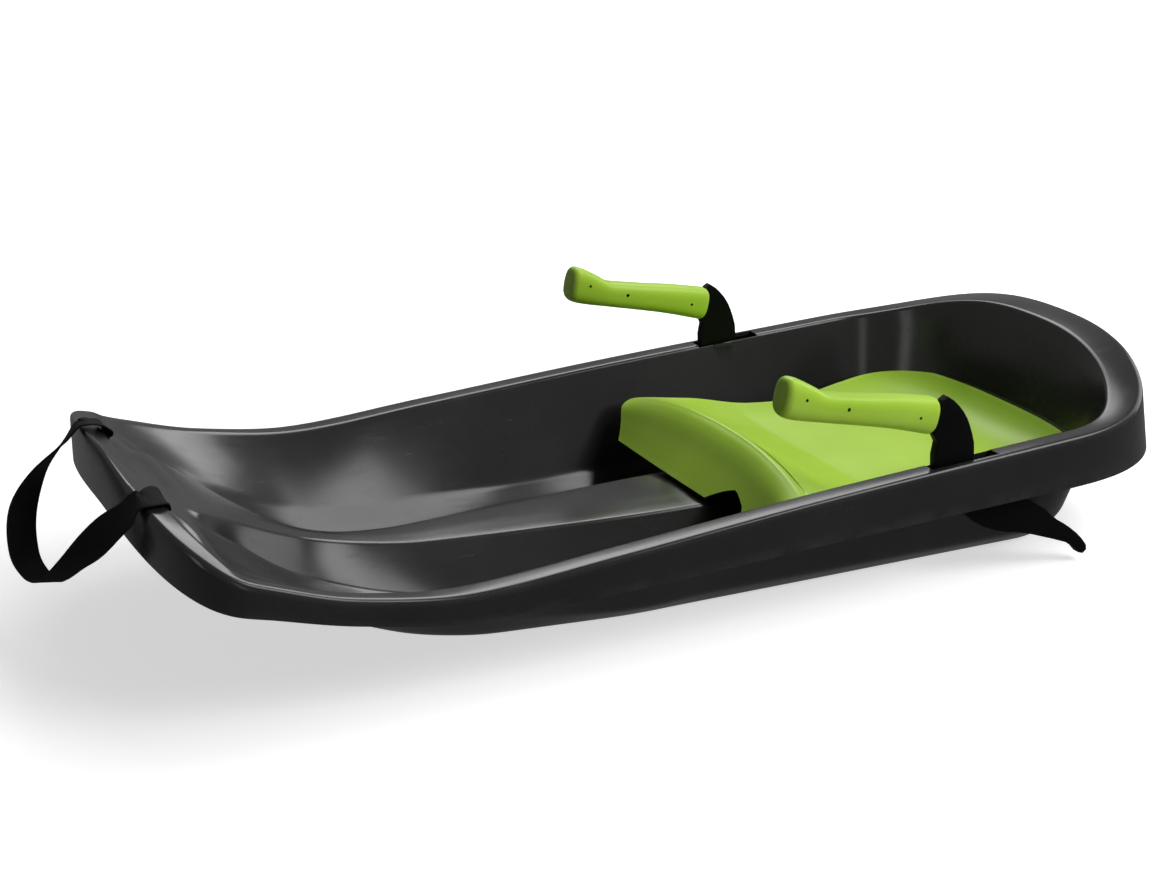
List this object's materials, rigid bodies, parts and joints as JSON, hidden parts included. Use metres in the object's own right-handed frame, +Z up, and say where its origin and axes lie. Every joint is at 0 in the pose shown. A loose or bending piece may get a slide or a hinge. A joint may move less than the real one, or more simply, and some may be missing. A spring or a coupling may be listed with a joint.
{
  "type": "snow sled",
  "caption": "Child's moulded plastic snow sled: a tub with raised nose, a moulded seat, hinged brake levers with hand grips at the sides, and a pull strap at the front.",
  "frame": {"origin": "on the snow under the middle of the sled's overall box", "axes": "+X towards the nose, +Y to the rider's left, +Z up"},
  "size_m": [1.0625, 0.46, 0.2208],
  "materials": {
    "hull_plastic": "satin moulded plastic",
    "lime_plastic": "satin moulded plastic",
    "black_plastic": "fine grained moulded plastic",
    "steel": "bright plated",
    "webbing": "woven flat webbing"
  },
  "bodies": {
    "sled": {"hull": "hull_plastic", "seat": "lime_plastic", "pivot_pin_left": "steel", "pivot_pin_right": "steel", "pull_strap": "webbing"},
    "brake_lever_left": {"lever_left": "black_plastic", "grip_left": "lime_plastic"},
    "brake_lever_right": {"lever_right": "black_plastic", "grip_right": "lime_plastic"}
  },
  "joints": [
    {"name": "brake_left", "type": "hinge", "parent": "sled", "child": "brake_lever_left", "pos_m": [-0.203, 0.2075, 0.093], "axis": [0, -1, 0], "range_deg": [0, 25]},
    {"name": "brake_right", "type": "hinge", "parent": "sled", "child": "brake_lever_right", "pos_m": [-0.203, -0.2075, 0.093], "axis": [0, -1, 0], "range_deg": [0, 25]}
  ]
}
